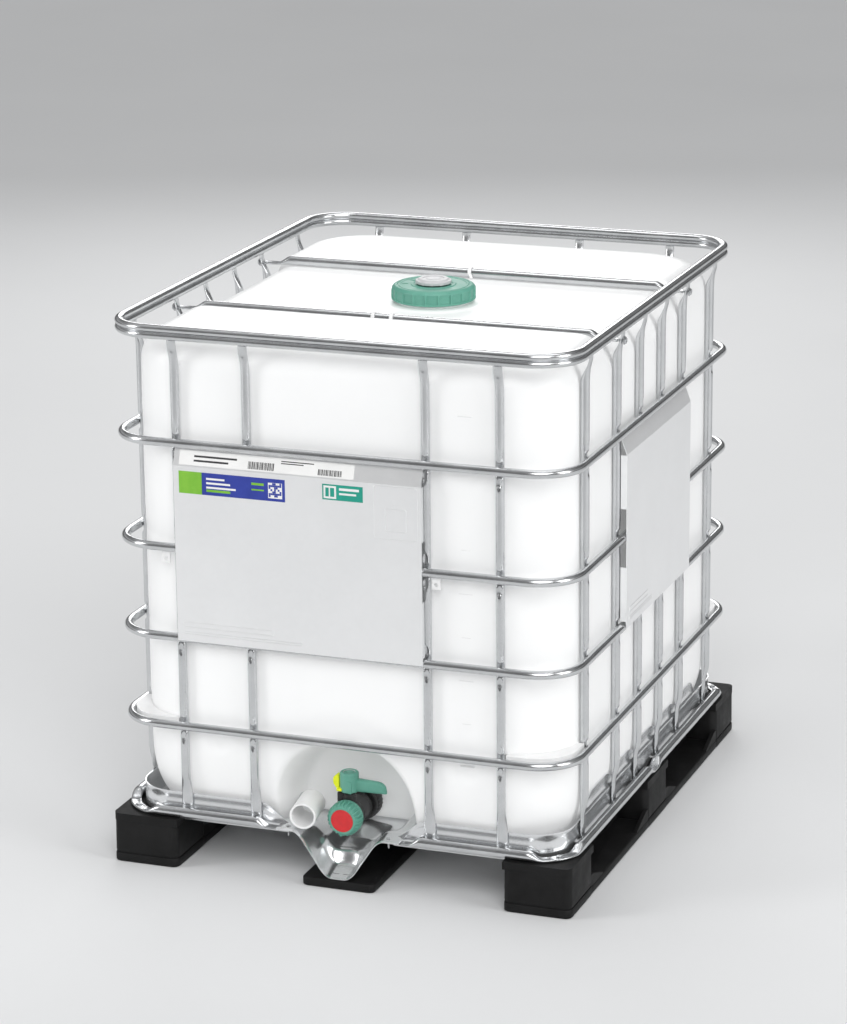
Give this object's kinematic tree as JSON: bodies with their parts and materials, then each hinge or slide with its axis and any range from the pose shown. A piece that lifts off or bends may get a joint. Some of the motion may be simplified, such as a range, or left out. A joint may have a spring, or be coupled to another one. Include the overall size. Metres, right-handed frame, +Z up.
{
  "type": "intermediate bulk container",
  "caption": "Square-cornered white bottle in a round-tube steel cage with a bottom valve in front, on a pallet with plastic runners and a steel pan.",
  "frame": {"origin": "on the floor under the middle of the pallet", "axes": "+Z up, X along the width, Y along the length, the outlet valve faces -Y"},
  "size_m": [1, 1.2, 1.15],
  "materials": {
    "galvanised_steel": "bright zinc coating",
    "sheet_steel": "bright zinc-coated sheet",
    "bottle_white": "blow-moulded polyethylene, slightly see-through",
    "white_plastic": "moulded",
    "teal_plastic": "moulded",
    "grey_plastic": "moulded",
    "black_plastic": "moulded",
    "pallet_plastic": "moulded, recycled",
    "red_plastic": "printed film",
    "yellow_plastic": "moulded",
    "seal_rubber": "moulded"
  },
  "bodies": {
    "container": {"base_pan": "sheet_steel", "cage_base_rim": "galvanised_steel", "cage_post_back_1": "galvanised_steel", "cage_post_back_2": "galvanised_steel", "cage_post_back_3": "galvanised_steel", "cage_post_back_4": "galvanised_steel", "cage_post_front_1": "galvanised_steel", "cage_post_front_2": "galvanised_steel", "cage_post_front_3": "galvanised_steel", "cage_post_front_4": "galvanised_steel", "cage_post_left_1": "galvanised_steel", "cage_post_left_2": "galvanised_steel", "cage_post_left_3": "galvanised_steel", "cage_post_left_4": "galvanised_steel", "cage_post_left_5": "galvanised_steel", "cage_post_left_6": "galvanised_steel", "cage_post_right_1": "galvanised_steel", "cage_post_right_2": "galvanised_steel", "cage_post_right_3": "galvanised_steel", "cage_post_right_4": "galvanised_steel", "cage_post_right_5": "galvanised_steel", "cage_post_right_6": "galvanised_steel", "cage_ring_2": "galvanised_steel", "cage_ring_3": "galvanised_steel", "cage_ring_4": "galvanised_steel", "cage_ring_5": "galvanised_steel", "cage_top_rim": "galvanised_steel", "corner_guard_front_left": "white_plastic", "corner_guard_front_right": "white_plastic", "corner_guard_rear_left": "white_plastic", "corner_guard_rear_right": "white_plastic", "crossbar_bolt_front_left": "galvanised_steel", "crossbar_bolt_front_right": "galvanised_steel", "crossbar_bolt_rear_left": "galvanised_steel", "crossbar_bolt_rear_right": "galvanised_steel", "crossbar_front": "galvanised_steel", "crossbar_rear": "galvanised_steel", "front_plate": "sheet_steel", "inner_bottle": "bottle_white", "outlet_seal": "seal_rubber", "pallet_runner_centre": "pallet_plastic", "pallet_runner_left": "pallet_plastic", "pallet_runner_right": "pallet_plastic", "seal_tag_left": "white_plastic", "seal_tag_right": "white_plastic", "side_plate": "sheet_steel", "valve_body": "black_plastic"},
    "filling_gasket": {"filling_gasket": "seal_rubber"},
    "filling_cap": {"filling_cap": "teal_plastic"},
    "vent_gasket": {"vent_gasket": "seal_rubber"},
    "vent_plug": {"vent_plug": "grey_plastic"},
    "outlet_gasket": {"outlet_gasket": "seal_rubber"},
    "outlet_cap": {"outlet_cap": "teal_plastic", "outlet_cap_disc": "red_plastic"},
    "union_nut": {"union_nut": "black_plastic"},
    "valve_handle": {"valve_handle": "teal_plastic"},
    "valve_disc": {"valve_disc": "black_plastic"},
    "safety_clip": {"safety_clip": "yellow_plastic"},
    "spare_spout": {"spare_spout": "white_plastic"}
  },
  "joints": [
    {"name": "filling_cap_lift", "type": "slide", "parent": "container", "child": "filling_gasket", "axis": [0, 0, 1], "range_m": [0, 0.08]},
    {"name": "filling_cap_turn", "type": "hinge", "parent": "filling_gasket", "child": "filling_cap", "pos_m": [0, 0, 1.12], "axis": [0, 0, 1], "range_deg": [0, 540]},
    {"name": "vent_plug_lift", "type": "slide", "parent": "filling_cap", "child": "vent_gasket", "axis": [0, 0, 1], "range_m": [0, 0.03]},
    {"name": "vent_plug_turn", "type": "hinge", "parent": "vent_gasket", "child": "vent_plug", "pos_m": [0, 0, 1.14], "axis": [0, 0, 1], "range_deg": [0, 540]},
    {"name": "outlet_cap_pull", "type": "slide", "parent": "container", "child": "outlet_gasket", "axis": [0, -1, 0], "range_m": [0, 0.06]},
    {"name": "outlet_cap_turn", "type": "hinge", "parent": "outlet_gasket", "child": "outlet_cap", "pos_m": [0, -0.565, 0.1375], "axis": [0, -1, 0], "range_deg": [0, 540]},
    {"name": "union_nut_turn", "type": "hinge", "parent": "container", "child": "union_nut", "pos_m": [0, -0.45, 0.1375], "axis": [0, -1, 0], "range_deg": [0, 540]},
    {"name": "valve_handle_turn", "type": "hinge", "parent": "container", "child": "valve_handle", "pos_m": [0, -0.5229, 0.1878], "axis": [0, 0, -1], "range_deg": [0, 90]},
    {"name": "valve_disc_turn", "type": "hinge", "parent": "container", "child": "valve_disc", "pos_m": [0, -0.5229, 0.1375], "axis": [0, 0, -1], "range_deg": [0, 90]},
    {"name": "safety_clip_pull", "type": "slide", "parent": "valve_handle", "child": "safety_clip", "axis": [-1, 0, 0], "range_m": [0, 0.014]},
    {"name": "spare_spout_slide", "type": "slide", "parent": "container", "child": "spare_spout", "axis": [0.1392, -0.9903, 0], "range_m": [0, 0.12]}
  ],
  "couplings": [
    {"joint": "valve_disc_turn", "follows": "valve_handle_turn", "ratio": 1}
  ]
}
